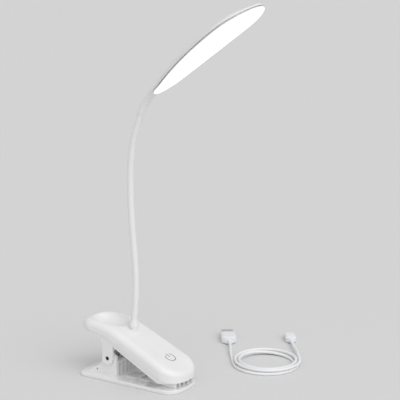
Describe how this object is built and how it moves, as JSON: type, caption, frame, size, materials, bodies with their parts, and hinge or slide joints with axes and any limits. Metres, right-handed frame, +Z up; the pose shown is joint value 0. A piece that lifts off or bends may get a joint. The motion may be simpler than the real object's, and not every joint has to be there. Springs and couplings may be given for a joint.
{
  "type": "clip-on led desk lamp",
  "caption": "Clip-on desk lamp: sprung clip with touch key and battery, bendable neck, leaf-shaped lit head, and a coiled charging cable beside it.",
  "frame": {"origin": "centre of the lower jaw's flat underside, on the table", "axes": "+X to the tip of the clip, the way the head leans; +Y across the clip, to the charge port's side; +Z up"},
  "size_m": [0.189, 0.2167, 0.3575],
  "materials": {
    "white_plastic": "satin white moulding",
    "grip_rubber": "soft matt white",
    "neck_sleeve": "smooth white sleeve over a steel core",
    "steel": "plain bright steel",
    "plug_metal": "nickel plated",
    "mark_ink": "grey clear inlay",
    "touch_foam": "conductive foam",
    "board": "green solder mask",
    "cell_foil": "pouch foil",
    "opal": "opal, lit from behind",
    "led_plate": "white printed board",
    "led_chip": "phosphor",
    "cable_jacket": "smooth white jacket",
    "plug_moulding": "soft white overmould",
    "plug_core": "dark insulator"
  },
  "bodies": {
    "jaw": {"lower_jaw": "white_plastic", "lower_grip_pad": "grip_rubber", "pivot_pin": "steel", "torsion_spring": "steel"},
    "lever": {"lever_shell": "white_plastic", "lever_base": "white_plastic", "upper_grip_pad": "grip_rubber", "touch_mark": "mark_ink", "touch_plate": "touch_foam", "control_board": "board", "battery": "cell_foil", "charge_port": "steel", "cover_screws": "steel", "neck_nut": "steel", "neck_link_1": "neck_sleeve"},
    "neck_2": {"neck_link_2": "neck_sleeve"},
    "neck_3": {"neck_link_3": "neck_sleeve"},
    "neck_4": {"neck_link_4": "neck_sleeve"},
    "neck_5": {"neck_link_5": "neck_sleeve"},
    "neck_6": {"neck_link_6": "neck_sleeve"},
    "neck_7": {"neck_link_7": "neck_sleeve"},
    "head": {"neck_link_8": "neck_sleeve", "head_shell": "white_plastic", "diffuser": "opal", "led_board": "led_plate", "leds": "led_chip", "head_screws": "steel"},
    "cable": {"cable_lead_a": "cable_jacket", "cable_coil": "cable_jacket", "cable_lead_b": "cable_jacket", "usb_a_grip": "plug_moulding", "usb_a_shell": "plug_metal", "usb_a_tongue": "plug_core", "usb_a_relief": "plug_moulding", "micro_grip": "plug_moulding", "micro_shell": "plug_metal", "micro_relief": "plug_moulding"}
  },
  "joints": [
    {"name": "clip_hinge", "type": "hinge", "parent": "jaw", "child": "lever", "pos_m": [-0.02341, 0, 0.0215], "axis": [0, -1, 0], "range_deg": [0, 32], "stiffness_Nm_per_rad": 0.5, "springref_deg": -57.3, "deforming": ["torsion_spring"]},
    {"name": "neck_bend_1", "type": "hinge", "parent": "lever", "child": "neck_2", "pos_m": [-0.00366, 0, 0.08202], "axis": [0, 1, 0], "range_deg": [-25, 25]},
    {"name": "neck_sway_2", "type": "hinge", "parent": "neck_2", "child": "neck_3", "pos_m": [-0.00368, 0, 0.10685], "axis": [1, 0, 0], "range_deg": [-25, 25]},
    {"name": "neck_bend_3", "type": "hinge", "parent": "neck_3", "child": "neck_4", "pos_m": [-0.0055, 0, 0.13167], "axis": [0, 1, 0], "range_deg": [-25, 25]},
    {"name": "neck_sway_4", "type": "hinge", "parent": "neck_4", "child": "neck_5", "pos_m": [-0.00741, 0, 0.1565], "axis": [1, 0, 0], "range_deg": [-25, 25]},
    {"name": "neck_bend_5", "type": "hinge", "parent": "neck_5", "child": "neck_6", "pos_m": [-0.0083, 0, 0.18132], "axis": [0, 1, 0], "range_deg": [-25, 25]},
    {"name": "neck_sway_6", "type": "hinge", "parent": "neck_6", "child": "neck_7", "pos_m": [-0.00777, 0, 0.20615], "axis": [1, 0, 0], "range_deg": [-25, 25]},
    {"name": "neck_bend_7", "type": "hinge", "parent": "neck_7", "child": "head", "pos_m": [-0.00407, 0, 0.23097], "axis": [0, 1, 0], "range_deg": [-25, 25]},
    {"name": "cable_lift", "type": "slide", "parent": "jaw", "child": "cable", "axis": [0, 0, 1], "range_m": [0, 0.05]}
  ]
}
